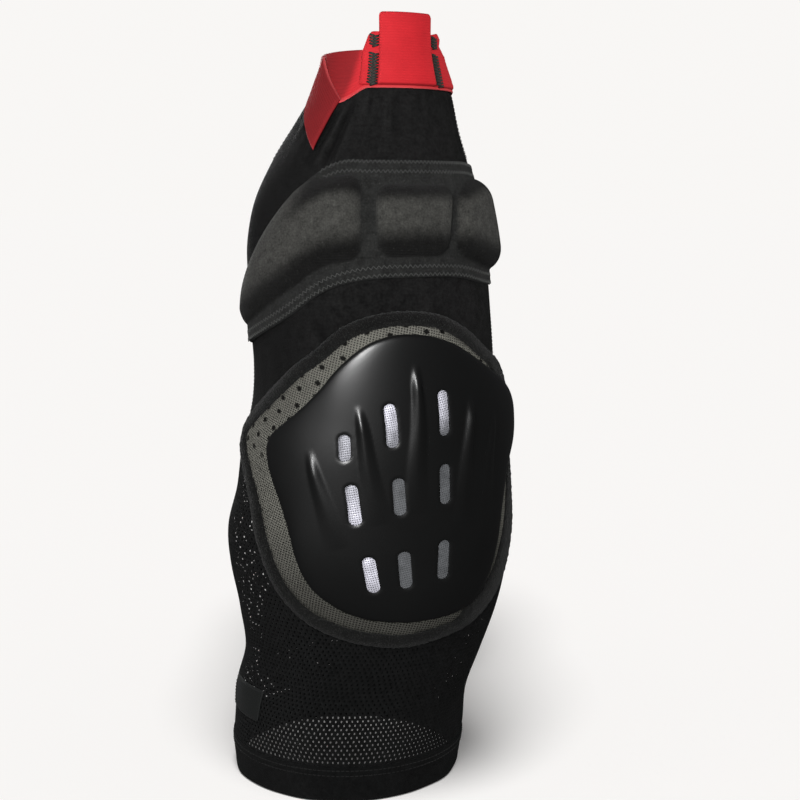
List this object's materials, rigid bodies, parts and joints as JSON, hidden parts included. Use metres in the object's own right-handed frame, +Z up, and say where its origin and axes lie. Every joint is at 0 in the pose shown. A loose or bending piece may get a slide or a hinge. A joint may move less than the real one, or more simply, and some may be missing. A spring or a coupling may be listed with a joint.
{
  "type": "padded protective shorts",
  "caption": "Knee-length protective shorts with an elastic waist, chambered hip pads, ribbed and slotted plastic thigh shields on foam bases, and open-mesh lower legs.",
  "frame": {"origin": "centre of the waist opening, level with the lower edge of the waistband", "axes": "+Z up towards the waist, -Y the wearer's front, -X the wearer's right"},
  "size_m": [0.3964, 0.1987, 0.5185],
  "materials": {
    "red_elastic": "woven elastic, matte",
    "black_jersey": "fine stretch jersey, matte",
    "black_hem": "turned jersey hem, matte",
    "pad_cloth": "brushed pad cloth, matte",
    "spacer_mesh": "spacer mesh, matte",
    "binding": "rolled fuzzy tape, matte",
    "silver_cloth": "silver reflective cloth",
    "shield_plastic": "moulded, satin",
    "open_mesh": "open knitted mesh, matte",
    "label": "woven, bare"
  },
  "bodies": {
    "root": {"waistband": "red_elastic", "tab_backing_right": "red_elastic", "tab_backing_left": "red_elastic", "side_tab_right": "red_elastic", "side_tab_left": "red_elastic", "front_panel": "black_jersey", "seat_panel": "black_jersey", "side_panel_right": "black_jersey", "side_panel_left": "black_jersey", "hem_right": "black_hem", "hem_left": "black_hem", "hip_pad_right": "pad_cloth", "hip_pad_left": "pad_cloth", "shield_base_right": "spacer_mesh", "shield_base_left": "spacer_mesh", "shield_binding_right": "binding", "shield_binding_left": "binding", "silver_insert_right": "silver_cloth", "silver_insert_left": "silver_cloth", "thigh_shield_right": "shield_plastic", "thigh_shield_left": "shield_plastic", "leg_mesh_right": "open_mesh", "leg_mesh_left": "open_mesh", "hem_label": "label"}
  },
  "joints": []
}
